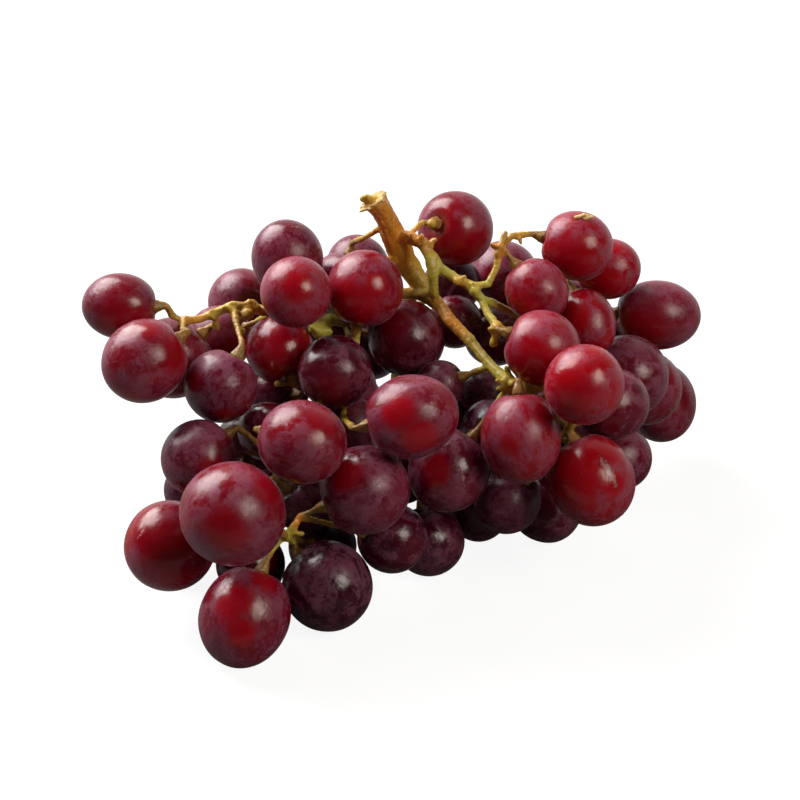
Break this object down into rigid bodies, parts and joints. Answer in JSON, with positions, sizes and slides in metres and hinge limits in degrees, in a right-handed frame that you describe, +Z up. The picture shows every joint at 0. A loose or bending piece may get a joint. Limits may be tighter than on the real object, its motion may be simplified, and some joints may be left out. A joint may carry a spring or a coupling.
{
  "type": "bunch of grapes",
  "caption": "Picked bunch of red table grapes lying on its side, with oval berries on a branched stem.",
  "frame": {"origin": "on the surface that the bunch lies on, under the middle of its box", "axes": "+X along the bunch's longest side, to the right as seen from the front; +Y to the back; +Z up"},
  "size_m": [0.161, 0.1246, 0.0907],
  "materials": {
    "red_skin": "smooth grape skin, wine red under a thin mauve wax bloom, half glossy",
    "bright_skin": "smooth grape skin, bright ruby red with the bloom rubbed off in patches, glossy",
    "dark_skin": "smooth grape skin, dark purple brown under a grey mauve bloom, half glossy",
    "stem": "green to ochre woody stem with brown warts, matt"
  },
  "bodies": {
    "root": {"stem": "stem", "back_1": "red_skin", "back_2": "red_skin", "back_row": "dark_skin", "cluster_1": "dark_skin", "cluster_10": "dark_skin", "cluster_11": "dark_skin", "cluster_12": "dark_skin", "cluster_13": "dark_skin", "cluster_14": "dark_skin", "cluster_2": "dark_skin", "cluster_3": "dark_skin", "cluster_4": "dark_skin", "cluster_5": "dark_skin", "cluster_6": "dark_skin", "cluster_7": "dark_skin", "cluster_8": "dark_skin", "cluster_9": "dark_skin", "front_1": "red_skin", "front_2": "red_skin", "front_3": "red_skin", "front_4": "bright_skin", "front_5": "dark_skin", "left_tip_1": "red_skin", "left_tip_2": "red_skin", "left_tip_3": "red_skin", "left_tip_4": "red_skin", "left_tip_5": "red_skin", "left_tip_6": "red_skin", "left_top_1": "red_skin", "left_top_2": "bright_skin", "left_top_3": "bright_skin", "left_top_4": "red_skin", "low_1": "dark_skin", "low_2": "dark_skin", "low_3": "dark_skin", "low_4": "dark_skin", "low_5": "dark_skin", "middle_1": "dark_skin", "middle_2": "dark_skin", "middle_3": "bright_skin", "middle_4": "red_skin", "middle_5": "red_skin", "middle_6": "red_skin", "right_1": "red_skin", "right_10": "red_skin", "right_11": "red_skin", "right_12": "red_skin", "right_13": "red_skin", "right_14": "red_skin", "right_2": "bright_skin", "right_3": "bright_skin", "right_4": "bright_skin", "right_5": "bright_skin", "right_6": "bright_skin", "right_7": "bright_skin", "right_8": "red_skin", "right_9": "bright_skin", "stalk_1": "red_skin", "stalk_2": "red_skin"}
  },
  "joints": []
}
